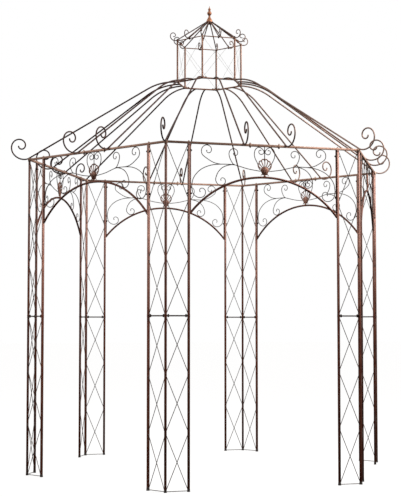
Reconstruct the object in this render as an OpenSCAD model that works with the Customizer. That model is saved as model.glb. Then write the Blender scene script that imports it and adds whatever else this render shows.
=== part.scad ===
// Hexagonal open-frame garden gazebo of welded steel tube and wire.
// Millimetres, +Z up, origin on the ground at the centre of the six pillars.
// The front doorway faces -Y; two of the six corners lie on the X axis.

/* [Overall] */
// Distance between opposite corner posts
across_corners = 3000; // [2800:20:3200]
// Height of the eave beams' centre line
eave_h = 2480; // [2400:10:2560]
// Height of the lantern's base ring
lantern_base_h = 3172; // [3120:4:3220]
// Height of the lantern's top ring
lantern_top_h = 3516; // [3480:4:3560]
// Corner radius of the lantern
lantern_r = 278; // [250:2:310]

/* [Tubes and wires] */
// Side of the square upright tubes
post_w = 16; // [15:1:18]
// Side of the square eave beams
beam_w = 16; // [15:1:18]
// Diameter of the arch bars
arch_d = 16; // [14:1:18]
// Diameter of the arch panels' upright side bars
side_bar_d = 9; // [8:1:10]
// Thickness of the roof rafters
rafter_t = 12; // [10:1:13]
// Thickness of the scroll wires
scroll_t = 6; // [5:0.5:6.5]
// Thickness of the lattice wires
lattice_t = 5; // [4:0.5:5.5]

/* [Pillars and doorways] */
// Distance from a corner post to each of its two neighbours
panel_w = 171; // [150:1:190]
// Number of wire crosses up one lattice panel
crosses = 6; // [4:1:8]
// Radius of the arches' centre line
arch_r = 725; // [700:5:750]
// Height of the arches' crown above the ground
arch_crown_h = 2247; // [2235:1:2250]

/* [Roof] */
// Bend radius at the top of a rafter
rafter_bend_r = 463; // [380:1:520]
// First radius of the scroll that ends each rafter
rafter_scroll_r = 112; // [100:1:120]
// First radius of the scrolls round the lantern
lantern_scroll_r = 45; // [36:1:50]

/* [Hidden] */

// derived sizes of the hexagon
corner_r = across_corners / 2;
apothem = corner_r * cos(30);
half_side = corner_r / 2;
inner_s = half_side - panel_w;            // inner upright, measured from mid-side
beam_low = eave_h - beam_w / 2;           // underside of the eave beams
beam_top = eave_h + beam_w / 2;
side_bar_s = inner_s - post_w / 2 - side_bar_d / 2;
arch_z0 = arch_crown_h - arch_r;          // height of the arches' centre
arch_a = asin(side_bar_s / arch_r);       // half angle of an arch
arch_spring_h = arch_z0 + arch_r * cos(arch_a);
grow = 0.229;                             // growth of the rafters' scrolls, per radian
rafter_run = beam_top + rafter_t / 2;     // rafter's centre line over the eave

// ---- curves -------------------------------------------------------------

// a smooth curve through the points P, n steps between neighbours
function knot(a, b, c, d, t) = 0.5 * (2 * b + (c - a) * t
    + (2 * a - 5 * b + 4 * c - d) * t * t + (3 * b - a - 3 * c + d) * t * t * t);
function smooth(P, n) = concat([for (i = [0 : len(P) - 2]) for (j = [0 : n - 1])
    knot(P[max(i - 1, 0)], P[i], P[i + 1], P[min(i + 2, len(P) - 1)], j / n)], [P[len(P) - 1]]);
// an arc round c
function arc(c, r, a0, a1, n) = [for (i = [0 : n]) let (a = a0 + (a1 - a0) * i / n)
    c + r * [cos(a), sin(a)]];
// a spiral round c from radius r0 to r1; p below 1 tightens it early
function spiral(c, r0, r1, a0, a1, n, p = 1) = [for (i = [0 : n]) let (t = i / n,
    a = a0 + (a1 - a0) * t, r = r0 + (r1 - r0) * pow(t, p)) c + r * [cos(a), sin(a)]];
// a spiral that keeps its shape as it shrinks, turning anticlockwise
function volute(c, r0, a0, turn, n) = [for (i = [0 : n]) let (t = turn * i / n,
    r = r0 * exp(-grow * t * PI / 180)) c + r * [cos(a0 + t), sin(a0 + t)]];
// outline of a bar of width w that follows the line P
function unit(v) = v / norm(v);
function side_of(P, i) = let (v = unit(P[min(i + 1, len(P) - 1)] - P[max(i - 1, 0)])) [-v[1], v[0]];
function strip(P, w) = concat(
    [for (i = [0 : len(P) - 1]) P[i] + side_of(P, i) * w / 2],
    [for (i = [len(P) - 1 : -1 : 0]) P[i] - side_of(P, i) * w / 2]);
function flip(P) = [for (q = P) [-q[0], q[1]]];

module bar(P, w) polygon(strip(P, w));

// ---- placing ------------------------------------------------------------

// k-th side: x runs along the side, y up, and the flat work is centred on it
module on_side(k, t) rotate([0, 0, 60 * k]) translate([0, -apothem, 0])
    rotate([90, 0, 0]) translate([0, 0, -t / 2]) linear_extrude(t) children();
// radial plane at an angle: x runs outward, y up
module on_radius(a, t) rotate([0, 0, a]) rotate([90, 0, 0])
    translate([0, 0, -t / 2]) linear_extrude(t) children();

// ---- pillars ------------------------------------------------------------

// three uprights: the corner one, which faces the middle of the gazebo, and one
// along each neighbouring side, square to it
module upright(h) translate([-post_w / 2, -post_w / 2, 0]) cube([post_w, post_w, h]);
module pillar_posts(k) color([0.36, 0.18, 0.14]) {
    rotate([0, 0, 60 * k]) translate([-half_side, -apothem, 0]) {
        rotate([0, 0, 60]) upright(beam_top);
        translate([panel_w, 0, 0]) upright(beam_low + 0.4);
        rotate([0, 0, 120]) translate([panel_w, 0, 0]) upright(beam_low + 0.4);
    }
}

// one flat lattice panel: two zigzag wires, which meet at the uprights' walls,
// and two level ones
module lattice_panel() {
    x0 = post_w / 2 / cos(30) - 0.4;      // the corner upright stands turned
    x1 = panel_w - post_w / 2 + 0.4;
    pitch = eave_h / crosses;
    turn = [x0 + 1.5, x1 - 1.5];
    intersection() {
        translate([x0, 8]) square([x1 - x0, beam_low - 8]);
        union() {
            for (i = [0 : crosses - 1], s = [0, 1])
                bar([[turn[s], i * pitch - 0.6], [turn[1 - s], (i + 1) * pitch + 0.6]], lattice_t);
            for (z = [14, eave_h / 2])
                translate([0, z - lattice_t / 2]) square([panel_w, lattice_t]);
        }
    }
}
module pillar_lattice(k) color([0.5, 0.42, 0.38])
    rotate([0, 0, 60 * k]) translate([-half_side, -apothem, 0]) for (a = [0, 120])
        rotate([0, 0, a]) rotate([90, 0, 0]) translate([0, 0, -lattice_t / 2])
            linear_extrude(lattice_t) lattice_panel();

// ---- eaves and doorways ---------------------------------------------------

// a beam between two corner uprights, its ends cut to their faces
module eave_beam(k) color([0.45, 0.27, 0.22])
    rotate([0, 0, 60 * k]) translate([0, -apothem, beam_low]) linear_extrude(beam_w) difference() {
        translate([-half_side, -beam_w / 2]) square([2 * half_side, beam_w]);
        for (s = [0, 1]) mirror([s, 0]) translate([-half_side, 0]) {
            rotate(60) square(post_w - 0.8, center = true);
            // clear of the neighbouring beam
            translate([-0.5, -beam_w]) square([beam_w / 2 * tan(30) + 0.5, 2 * beam_w]);
        }
    }

// arch bar between two short side bars that stand against the inner uprights
module arch(k) color([0.4, 0.22, 0.18]) rotate([0, 0, 60 * k]) translate([0, -apothem, 0]) {
    translate([0, 0, arch_z0]) rotate([90, 0, 0]) rotate([0, 0, 90 - arch_a])
        rotate_extrude(angle = 2 * arch_a, $fn = 96) translate([arch_r, 0])
            circle(d = arch_d, $fn = 24);
    for (s = [-1, 1]) translate([s * side_bar_s, 0, arch_spring_h - 10])
        cylinder(d = side_bar_d, h = beam_low - arch_spring_h + 10.4, $fn = 24);
}

// the wires of one half of a doorway's head, with x = 0 at mid-side
joint_p = [-240, 2334];
function upper_scroll() = concat(smooth([[-335, 2333], [-380, 2339], [-420, 2356]], 4),
    spiral([-436, 2429.9], 55, 8, 238, -170, 30));
function inner_scroll() = concat(smooth([joint_p, [-257, 2358], [-270, 2384]], 3),
    spiral([-232, 2416], 45, 7, 205, -170, 28));
function lower_scroll() = concat(smooth([joint_p, [-290, 2325], [-335, 2302], [-366, 2263]], 4),
    spiral([-330, 2216.8], 50, 7, 155, 535, 28));
function great_scroll() = concat(smooth([joint_p, [-335, 2333], [-420, 2321], [-495, 2285],
    [-545, 2225], [-557.9, 2160]], 5), spiral([-486, 2133], 72, 9, 185, 560, 30, 0.6));
function shell_stem() = smooth([joint_p, [-180, 2319], [-120, 2304], [-22, 2291]], 3);
// from the shell's shoulder up to the beam, over, and down through the stem
// to a small curl on the other side
function crown_scroll() = smooth([[-45, 2321], [-55, 2350], [-74, 2387], [-79, 2419], [-71, 2450],
    [-47, beam_low - scroll_t / 2 + 0.4], [-22, 2460], [-3, 2439], [11, 2422], [26, 2415], [40, 2421],
    [46, 2434], [40, 2446], [30, 2446]], 3);

module half_scrollwork() {
    bar(upper_scroll(), scroll_t);
    bar(inner_scroll(), scroll_t);
    bar(lower_scroll(), scroll_t);
    bar(great_scroll(), scroll_t);
    bar(shell_stem(), scroll_t);
    bar(crown_scroll(), scroll_t);
}
// openwork scallop shell on a short foot, standing on the crown of the arch:
// seven ribs fan out from a solid heart to a scalloped rim
shell_c = [0, arch_crown_h + 49];
function shell_r(i) = 81 - 3.1 * i * i + 0.03 * i * i * i * i;
function shell_tip(i, k = 1) = shell_c + k * shell_r(i) * [cos(90 + 20 * i), sin(90 + 20 * i)];
module shell_outline() {
    base = arch_crown_h + arch_d / 2 - 0.4;
    // rim, from heart to heart
    bar(concat([[26, shell_c[1] + 2], [38, shell_c[1] + 10]],
        [for (i = [-3 : 0.5 : 3]) shell_tip(i, i == round(i) ? 1 : 1.055)],
        [[-38, shell_c[1] + 10], [-26, shell_c[1] + 2]]), 7);
    for (i = [-3 : 3]) let (a = 90 + 20 * i, n = [-sin(a), cos(a)], d = [cos(a), sin(a)])
        polygon([shell_c + 14 * d + 1.6 * n, shell_c + (shell_r(i) - 1) * d + 3.2 * n,
            shell_c + (shell_r(i) - 1) * d - 3.2 * n, shell_c + 14 * d - 1.6 * n]);
    // heart with two small leaves, and the foot, as one outline
    half = [[9, -31], [19, -34.5], [31, -36], [22, -27], [17, -22.5], [24, -10], [28, 3], [22, 20], [10, 28]];
    translate(shell_c) polygon(concat([[8, base - shell_c[1]]], half, [[0, 31]],
        [for (i = [len(half) - 1 : -1 : 0]) [-half[i][0], half[i][1]]], [[-8, base - shell_c[1]]]));
    // stem up to the beam
    translate([-3, shell_c[1] + 76]) square([6, beam_low + 0.4 - shell_c[1] - 76]);
}
module scrollwork(k) color([0.33, 0.25, 0.22]) on_side(k, scroll_t) {
    half_scrollwork();
    mirror([1, 0]) half_scrollwork();
    shell_outline();
}

// ---- roof ------------------------------------------------------------------

// centre line of a rafter that leaves the lantern level at r0 and passes the
// eave at r1: a bend, a straight fall, an upward bend and a scroll
function fall(r0, r1) = let (dz = lantern_base_h - rafter_run, dr = r1 - r0,
    // the fall angle at which the bend meets the straight line through the eave
    q = sqrt(dr * dr + dz * dz - 2 * rafter_bend_r * dz),
    h = norm([dr, dz - rafter_bend_r]))
    90 - acos(rafter_bend_r / h) + atan2(dz - rafter_bend_r, dr);
function rafter_line(r0, r1) = let (f = fall(r0, r1),
    over = 5,
    e = [r1 + over, rafter_run - over * tan(f)],
    up_r = 67,
    c = e + up_r * [sin(f), cos(f)],
    q = c + up_r * [cos(264), sin(264)])
    concat(arc([r0, lantern_base_h - rafter_bend_r], rafter_bend_r, 90, 90 - f, 8),
        arc(c, up_r, 270 - f, 264, 3),
        [for (i = [1 : 44]) volute(q - rafter_scroll_r * [cos(-109), sin(-109)],
            rafter_scroll_r, -109, 455, 44)[i]]);

module rafter(a, r0, r1) on_radius(a, rafter_t) bar(rafter_line(r0, r1), rafter_t);

// corner rafters run corner to corner; the two on each side stand a little apart
// from its middle
side_share = 0.1;
side_a = atan2(2 * side_share * half_side, apothem);
side_off = 13;                            // they also stand this far apart from the middle
module corner_rafter(k) color([0.3, 0.16, 0.13])
    rafter(240 + 60 * k, lantern_r + 6, corner_r);
module side_rafters(k) color([0.33, 0.2, 0.16]) rotate([0, 0, 60 * k]) for (s = [-1, 1])
    translate([s * side_off, 0, 0])
        rafter(270 + s * side_a, (lantern_r * cos(30) + 6) / cos(side_a), apothem / cos(side_a));

// ---- lantern ----------------------------------------------------------------

module hex_ring(r, z, t) translate([0, 0, z - t / 2]) linear_extrude(t) difference() {
    circle(r = r + t / 2 / cos(30), $fn = 6);
    circle(r = r - t / 2 / cos(30), $fn = 6);
}
lantern_ring_t = 13;
lantern_wire_t = 8;
lantern_post_d = 14;
lantern_rafter_t = 9;
finial_r = 26;
finial_foot = lantern_top_h + 160;

module lantern_base_ring() color([0.45, 0.3, 0.24])
    hex_ring(lantern_r, lantern_base_h, lantern_ring_t);
module lantern_posts() color([0.36, 0.18, 0.14]) for (k = [0 : 5]) rotate([0, 0, 60 * k])
    translate([lantern_r, 0, lantern_base_h + lantern_ring_t / 2 - 0.2])
        cylinder(d = lantern_post_d, h = lantern_top_h - lantern_base_h
            - (lantern_ring_t + lantern_wire_t) / 2 + 0.4, $fn = 24);
module lantern_top_ring() color([0.42, 0.3, 0.26])
    hex_ring(lantern_r, lantern_top_h, lantern_wire_t);

// a straight rafter from the finial over the top ring, ending in a small scroll
function small_rafter_line(r1) = let (z1 = lantern_top_h + lantern_wire_t / 2 + lantern_rafter_t / 2,
    z0 = finial_foot + 18, r0 = finial_r - 3,
    f = atan2(z0 - z1, r1 - r0),
    over = 4,
    e = [r1 + over, z1 - over * tan(f)],
    up_r = 28,
    c = e + up_r * [sin(f), cos(f)],
    q = c + up_r * [cos(264), sin(264)])
    concat([[r0, z0]], arc(c, up_r, 270 - f, 264, 3),
        [for (i = [1 : 32]) volute(q - lantern_scroll_r * [cos(-109), sin(-109)],
            lantern_scroll_r, -109, 400, 32)[i]]);
module lantern_rafters() color([0.33, 0.2, 0.16]) for (k = [0 : 11])
    on_radius(30 * k, lantern_rafter_t)
        bar(small_rafter_line(k % 2 == 0 ? lantern_r : lantern_r * cos(30)), lantern_rafter_t);

// gathering cone, two bulbs and a spike, all turned round one axis
module finial() color([0.5, 0.3, 0.24]) translate([0, 0, finial_foot]) rotate_extrude($fn = 48)
    polygon(concat([[0, 0]], smooth([[20, 0], [finial_r, 14], [24, 30], [12, 54], [7, 68], [11, 75],
        [19, 88], [15, 103], [6.5, 112], [10, 118], [12, 124], [7, 133], [3.5, 138], [2, 148],
        [0.6, 153]], 3), [[0, 153]]));

pillar_posts(0);  // front_left_pillar_posts
pillar_posts(1);  // front_right_pillar_posts
pillar_posts(2);  // right_pillar_posts
pillar_posts(3);  // rear_right_pillar_posts
pillar_posts(4);  // rear_left_pillar_posts
pillar_posts(5);  // left_pillar_posts
pillar_lattice(0);  // front_left_pillar_lattice
pillar_lattice(1);  // front_right_pillar_lattice
pillar_lattice(2);  // right_pillar_lattice
pillar_lattice(3);  // rear_right_pillar_lattice
pillar_lattice(4);  // rear_left_pillar_lattice
pillar_lattice(5);  // left_pillar_lattice
eave_beam(0);  // front_eave_beam
eave_beam(1);  // right_front_eave_beam
eave_beam(2);  // right_rear_eave_beam
eave_beam(3);  // rear_eave_beam
eave_beam(4);  // left_rear_eave_beam
eave_beam(5);  // left_front_eave_beam
arch(0);  // front_arch
arch(1);  // right_front_arch
arch(2);  // right_rear_arch
arch(3);  // rear_arch
arch(4);  // left_rear_arch
arch(5);  // left_front_arch
scrollwork(0);  // front_scrollwork
scrollwork(1);  // right_front_scrollwork
scrollwork(2);  // right_rear_scrollwork
scrollwork(3);  // rear_scrollwork
scrollwork(4);  // left_rear_scrollwork
scrollwork(5);  // left_front_scrollwork
corner_rafter(0);  // front_left_corner_rafter
corner_rafter(1);  // front_right_corner_rafter
corner_rafter(2);  // right_corner_rafter
corner_rafter(3);  // rear_right_corner_rafter
corner_rafter(4);  // rear_left_corner_rafter
corner_rafter(5);  // left_corner_rafter
side_rafters(0);  // front_rafters
side_rafters(1);  // right_front_rafters
side_rafters(2);  // right_rear_rafters
side_rafters(3);  // rear_rafters
side_rafters(4);  // left_rear_rafters
side_rafters(5);  // left_front_rafters
lantern_base_ring();
lantern_posts();
lantern_top_ring();
lantern_rafters();
finial();
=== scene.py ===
import math
import random

import bpy
from mathutils import Matrix, Vector


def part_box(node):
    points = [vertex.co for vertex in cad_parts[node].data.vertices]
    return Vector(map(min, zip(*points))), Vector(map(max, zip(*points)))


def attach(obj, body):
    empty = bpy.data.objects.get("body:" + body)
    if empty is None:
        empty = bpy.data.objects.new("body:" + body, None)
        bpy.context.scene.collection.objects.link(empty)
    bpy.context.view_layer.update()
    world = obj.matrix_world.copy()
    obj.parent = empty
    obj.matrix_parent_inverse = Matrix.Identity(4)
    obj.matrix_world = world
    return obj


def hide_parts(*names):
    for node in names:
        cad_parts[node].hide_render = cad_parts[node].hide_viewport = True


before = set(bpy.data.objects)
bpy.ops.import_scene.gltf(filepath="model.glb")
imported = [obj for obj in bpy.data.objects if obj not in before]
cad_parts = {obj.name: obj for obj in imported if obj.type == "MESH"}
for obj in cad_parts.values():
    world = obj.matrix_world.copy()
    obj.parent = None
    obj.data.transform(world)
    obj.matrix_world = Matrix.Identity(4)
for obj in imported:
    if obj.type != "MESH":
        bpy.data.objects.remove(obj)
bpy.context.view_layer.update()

random.seed(7)
scene = bpy.context.scene

# ------------------------------------------------------------------ camera
cam_data = bpy.data.cameras.new("camera")
camera = bpy.data.objects.new("camera", cam_data)
scene.collection.objects.link(camera)
scene.camera = camera
cam_data.sensor_fit = "AUTO"
cam_data.sensor_width = 36.0
cam_data.lens = 1256.0 * 36.0 / 497.0
cam_data.clip_start = 0.1
cam_data.clip_end = 300.0
camera.location = (-3.2085, -9.8445, 1.197)
camera.rotation_euler = (math.radians(90 + 3.34), 0.0, math.radians(-17.64))

# ------------------------------------------------------------------ light levels
FLOOR_GLOW = 0.80
DOME = [(0.0, 0.04), (0.42, 0.06), (0.52, 0.20), (0.66, 0.50), (1.0, 0.8)]

# ------------------------------------------------------------------ sizes, from the frame
MM = 0.001
SIDES = ["front", "right_front", "right_rear", "rear", "left_rear", "left_front"]
CORNERS = ["front_left", "front_right", "right", "rear_right", "rear_left", "left"]

lo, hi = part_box("front_eave_beam")
EAVE = (lo.z + hi.z) / 2
BEAM_R = (hi.z - lo.z) / 2
APO = -(lo.y + hi.y) / 2
RAD = APO / math.cos(math.radians(30))
HALF = RAD / 2
lo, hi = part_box("right_pillar_posts")
POST_R = hi.x - RAD
PANEL = (hi.y - POST_R * (math.sin(math.radians(60)) + 0.5)) / math.sin(math.radians(60))
INNER = HALF - PANEL
lo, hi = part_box("lantern_base_ring")
LB = (lo.z + hi.z) / 2
LR = 278 * MM
lo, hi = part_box("lantern_top_ring")
LT = (lo.z + hi.z) / 2
lo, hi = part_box("finial")
FIN = lo.z
BEAM_LOW = EAVE - BEAM_R
BEAM_TOP = EAVE + BEAM_R
ARCH_R = 725 * MM
CROWN = 2247 * MM
ARCH_Z0 = CROWN - ARCH_R
SIDE_BAR_R = 4.5 * MM
ARCH_BAR_R = 8 * MM
SIDE_BAR_S = INNER - POST_R - SIDE_BAR_R
ARCH_A = math.asin(SIDE_BAR_S / ARCH_R)
SPRING = ARCH_Z0 + ARCH_R * math.cos(ARCH_A)
RAF_R = 6.0 * MM
RAF_Z = BEAM_TOP + RAF_R


# ------------------------------------------------------------------ curves in a plane
def smooth(points, n):
    """Catmull-Rom through points, n steps between neighbours."""
    out = []
    last = len(points) - 1
    for i in range(last):
        a, b, c, d = (points[max(i - 1, 0)], points[i], points[i + 1], points[min(i + 2, last)])
        for j in range(n):
            t = j / n
            out.append(tuple(0.5 * (2 * b[k] + (c[k] - a[k]) * t
                                    + (2 * a[k] - 5 * b[k] + 4 * c[k] - d[k]) * t * t
                                    + (3 * b[k] - a[k] - 3 * c[k] + d[k]) * t ** 3)
                             for k in range(len(b))))
    out.append(tuple(points[-1]))
    return out


def arc(c, r, a0, a1, n):
    return [(c[0] + r * math.cos(math.radians(a0 + (a1 - a0) * i / n)),
             c[1] + r * math.sin(math.radians(a0 + (a1 - a0) * i / n))) for i in range(n + 1)]


def spiral(c, r0, r1, a0, a1, n, p=1.0):
    out = []
    for i in range(n + 1):
        t = i / n
        a = math.radians(a0 + (a1 - a0) * t)
        r = r0 + (r1 - r0) * t ** p
        out.append((c[0] + r * math.cos(a), c[1] + r * math.sin(a)))
    return out


def volute(c, r0, a0, turn, n, grow=0.229):
    out = []
    for i in range(n + 1):
        t = turn * i / n
        r = r0 * math.exp(-grow * math.radians(t))
        out.append((c[0] + r * math.cos(math.radians(a0 + t)), c[1] + r * math.sin(math.radians(a0 + t))))
    return out


def relax(points, rounds=2):
    """Evens out the small kinks where two curves join, with the ends held."""
    p = [Vector(q) for q in points]
    for _ in range(rounds):
        p = [p[0]] + [(p[i - 1] + 2 * p[i] + p[i + 1]) / 4 for i in range(1, len(p) - 1)] + [p[-1]]
    return [tuple(q) for q in p]


def even(points, step):
    """The same line with a point about every step."""
    p = [Vector(q) for q in points]
    d = [0.0]
    for a, b in zip(p, p[1:]):
        d.append(d[-1] + (b - a).length)
    n = max(2, int(round(d[-1] / step)))
    out = []
    j = 0
    for i in range(n + 1):
        t = d[-1] * i / n
        while j < len(d) - 2 and d[j + 1] < t:
            j += 1
        w = (t - d[j]) / max(d[j + 1] - d[j], 1e-9)
        out.append(tuple(p[j].lerp(p[j + 1], w)))
    return out


# ------------------------------------------------------------------ mesh building
class Build:
    """Collects the surfaces of one piece, in the row frame."""

    def __init__(self):
        self.v = []
        self.f = []

    def add(self, verts, faces, m=None):
        base = len(self.v)
        if m is not None:
            verts = [m @ Vector(q) for q in verts]
        self.v.extend(Vector(q) for q in verts)
        self.f.extend(tuple(base + i for i in face) for face in faces)

    def sweep(self, line, r, sides=10, m=None, normal=None, radius=None, ends="round", flat=1.0):
        """A bar of radius r along 3-D points; normal is the plane's normal for a plane curve.
        radius(t) scales r along the length; flat scales it across the plane."""
        p = [Vector(q) for q in line]
        n = len(p)
        tang = []
        for i in range(n):
            t = p[min(i + 1, n - 1)] - p[max(i - 1, 0)]
            tang.append(t.normalized())
        dist = [0.0]
        for a, b in zip(p, p[1:]):
            dist.append(dist[-1] + (b - a).length)
        total = dist[-1]
        if normal is not None:
            side = Vector(normal).normalized()
        else:
            t0 = tang[0]
            ref = Vector((0, 0, 1)) if abs(t0.z) < 0.9 else Vector((1, 0, 0))
            side = t0.cross(ref).normalized()
        rings = []
        for i in range(n):
            t = tang[i]
            s = side - t * side.dot(t)
            s.normalize()
            if normal is None:
                side = s
            u = t.cross(s)
            k = r * (radius(dist[i] / total) if radius else 1.0)
            rings.append((p[i], s, u, k, t))
        full = []
        if ends == "round":
            q, s, u, k, t = rings[0]
            for j in (0, 1, 2):
                g = math.radians(15 + 30 * j)
                full.append((q + t * k * (1 - math.sin(g)) * 1.0, s, u, k * math.cos(math.radians(75 - 30 * j)), t))
            cut0 = k
            q2, s2, u2, k2, t2 = rings[-1]
            mid = [x for x, d in zip(rings, dist) if d > cut0 * 1.05 and d < total - k2 * 1.05]
            full.append((q + t * k, s, u, k, t))
            full.extend(mid)
            full.append((q2 - t2 * k2, s2, u2, k2, t2))
            for j in (2, 1, 0):
                g = math.radians(15 + 30 * j)
                full.append((q2 - t2 * k2 * (1 - math.sin(g)), s2, u2, k2 * math.cos(math.radians(75 - 30 * j)), t2))
            # hemisphere rings measured inward from the tip
            first = full[0:3]
            fixed = []
            for j, (qq, ss, uu, kk, tt) in enumerate(first):
                g = math.radians(20 + 28 * j)
                fixed.append((q + t * k * (1 - math.cos(g)), s, u, k * math.sin(g), t))
            full[0:3] = fixed
            tail = []
            for j in (2, 1, 0):
                g = math.radians(20 + 28 * j)
                tail.append((q2 - t2 * k2 * (1 - math.cos(g)), s2, u2, k2 * math.sin(g), t2))
            full[-3:] = tail
            tips = (q, q2)
        else:
            full = rings
            tips = (rings[0][0], rings[-1][0])
        verts = []
        for q, s, u, k, t in full:
            for j in range(sides):
                a = 2 * math.pi * (j + 0.5) / sides
                verts.append(q + s * (k * flat * math.cos(a)) + u * (k * math.sin(a)))
        faces = []
        rows = len(full)
        for i in range(rows - 1):
            for j in range(sides):
                a = i * sides + j
                b = i * sides + (j + 1) % sides
                faces.append((a, b, b + sides, a + sides))
        verts.append(tips[0])
        verts.append(tips[1])
        c0, c1 = len(verts) - 2, len(verts) - 1
        for j in range(sides):
            faces.append((c0, (j + 1) % sides, j))
            e = (rows - 1) * sides
            faces.append((c1, e + j, e + (j + 1) % sides))
        self.add(verts, faces, m)

    def rod(self, a, b, r, sides=16, m=None, ends="flat", chamfer=0.0):
        a, b = Vector(a), Vector(b)
        if chamfer > 0:
            t = (b - a).normalized() * chamfer
            line = [a, a + t, b - t, b]
            length = (b - a).length
            self.lathe_axis(a, b, [(0, 0.0), (r - chamfer, 0.0), (r, chamfer), (r, length - chamfer),
                                   (r - chamfer, length), (0, length)], sides, m)
        else:
            self.sweep([a, b], r, sides, m, ends=ends)

    def lathe_axis(self, a, b, profile, sides=24, m=None, phase=0.5):
        """Turns profile [(radius, distance from a)] round the line from a towards b."""
        a, b = Vector(a), Vector(b)
        t = (b - a).normalized()
        ref = Vector((0, 0, 1)) if abs(t.z) < 0.9 else Vector((1, 0, 0))
        s = t.cross(ref).normalized()
        u = t.cross(s)
        verts, faces, rows = [], [], []
        for r, h in profile:
            if r <= 1e-9:
                rows.append([len(verts)])
                verts.append(a + t * h)
            else:
                row = []
                for j in range(sides):
                    g = 2 * math.pi * (j + phase) / sides
                    row.append(len(verts))
                    verts.append(a + t * h + s * (r * math.cos(g)) + u * (r * math.sin(g)))
                rows.append(row)
        for x, y in zip(rows, rows[1:]):
            if len(x) == 1 and len(y) == 1:
                continue
            if len(x) == 1:
                for j in range(sides):
                    faces.append((x[0], y[(j + 1) % sides], y[j]))
            elif len(y) == 1:
                for j in range(sides):
                    faces.append((x[j], x[(j + 1) % sides], y[0]))
            else:
                for j in range(sides):
                    faces.append((x[j], x[(j + 1) % sides], y[(j + 1) % sides], y[j]))
        self.add(verts, faces, m)

    def squares(self, profile, m=None, r=1.4 * MM, seg=3):
        """A square bar with rounded edges along local z: profile is [(half side, z)]."""
        rows, verts, faces = [], [], []
        for h, z in profile:
            q = min(r, 0.7 * h)
            row = []
            for k in range(4):
                cx = (h - q) * (1 if k in (0, 3) else -1)
                cy = (h - q) * (1 if k < 2 else -1)
                for j in range(seg + 1):
                    g = math.pi / 2 * (k + j / seg)
                    row.append(len(verts))
                    verts.append((cx + q * math.cos(g), cy + q * math.sin(g), z))
            rows.append(row)
        n = len(rows[0])
        for x, y in zip(rows, rows[1:]):
            for j in range(n):
                faces.append((x[j], x[(j + 1) % n], y[(j + 1) % n], y[j]))
        faces.append(tuple(reversed(rows[0])))
        faces.append(tuple(rows[-1]))
        self.add(verts, faces, m)

    def ball(self, c, r, m=None, squash=1.0, axis=(0, 0, 1), sides=12, rows=6):
        prof = []
        for i in range(rows + 1):
            g = math.pi * i / rows
            prof.append((max(r * math.sin(g), 0.0), r * squash * (1 - math.cos(g))))
        a = Vector(c) - Vector(axis).normalized() * r * squash
        self.lathe_axis(a, a + Vector(axis), prof, sides, m)

    def hexbolt(self, c, axis, r, h, m=None, washer=True, stud=0.0):
        """A hexagonal head or nut on a washer, its foot at c and standing along axis."""
        c, t = Vector(c), Vector(axis).normalized()
        z = 0.0
        if washer:
            w = h * 0.22
            self.lathe_axis(c, c + t, [(0, 0), (r * 1.25, 0), (r * 1.3, w * 0.4), (r * 1.25, w), (0, w)], 18, m)
            z = w
        self.lathe_axis(c, c + t, [(0, z), (r, z), (r, z + h * 0.72), (r * 0.84, z + h * 0.86), (0, z + h * 0.86)], 6, m)
        if stud > 0:
            self.lathe_axis(c, c + t, [(r * 0.5, z + h * 0.8), (r * 0.5, z + h * 0.86 + stud * 0.8),
                                       (r * 0.38, z + h * 0.86 + stud), (0, z + h * 0.86 + stud)], 12, m)

    def bead(self, c, r, m=None, squash=0.7, axis=(0, 0, 1)):
        """A small weld bead, slightly uneven."""
        c = Vector(c) + Vector((random.uniform(-1, 1), random.uniform(-1, 1), random.uniform(-1, 1))) * r * 0.08
        self.ball(c, r * random.uniform(0.9, 1.1), m, squash * random.uniform(0.85, 1.1), axis, 10, 5)

    def weld_ring(self, a, axis, r, t, m=None, sides=20):
        """A rippled fillet round a bar's end: a torus of small bumps."""
        a, ax = Vector(a), Vector(axis).normalized()
        ref = Vector((0, 0, 1)) if abs(ax.z) < 0.9 else Vector((1, 0, 0))
        s = ax.cross(ref).normalized()
        u = ax.cross(s)
        verts, faces = [], []
        tube = 6
        for i in range(sides):
            g = 2 * math.pi * i / sides
            d = s * math.cos(g) + u * math.sin(g)
            k = t * (1 + 0.18 * math.sin(i * 2.4))
            for j in range(tube):
                b = 2 * math.pi * j / tube
                verts.append(a + d * (r + k * 0.6 * math.cos(b)) + ax * (k * 0.8 * math.sin(b)))
        for i in range(sides):
            for j in range(tube):
                i2, j2 = (i + 1) % sides, (j + 1) % tube
                faces.append((i * tube + j, i2 * tube + j, i2 * tube + j2, i * tube + j2))
        self.add(verts, faces, m)

    def object(self, name, material, slot, replaces=(), angle=38):
        me = bpy.data.meshes.new(name)
        me.from_pydata([tuple(q) for q in self.v], [], self.f)
        me.validate()
        import bmesh
        bm = bmesh.new()
        bm.from_mesh(me)
        bmesh.ops.recalc_face_normals(bm, faces=bm.faces)
        for face in bm.faces:
            face.smooth = True
        lim = math.radians(angle)
        for e in bm.edges:
            if len(e.link_faces) == 2 and e.calc_face_angle(0.0) > lim:
                e.smooth = False
        bm.to_mesh(me)
        bm.free()
        ob = bpy.data.objects.new(name, me)
        scene.collection.objects.link(ob)
        me.materials.append(material)
        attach(ob, "root")
        if replaces:
            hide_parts(*replaces)
        return ob


def side_m(k):
    """Local x along side k, y inward, z up, with x = 0 at mid-side."""
    return Matrix.Rotation(math.radians(60 * k), 4, "Z") @ Matrix.Translation((0, -APO, 0))


def radial_m(a):
    return Matrix.Rotation(math.radians(a), 4, "Z")


def corner_m(k):
    return Matrix.Rotation(math.radians(60 * k), 4, "Z") @ Matrix.Translation((-HALF, -APO, 0))


def plane(points, y=0.0):
    """2-D points (x, z) as 3-D points."""
    return [(q[0], y, q[1]) for q in points]


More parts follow.
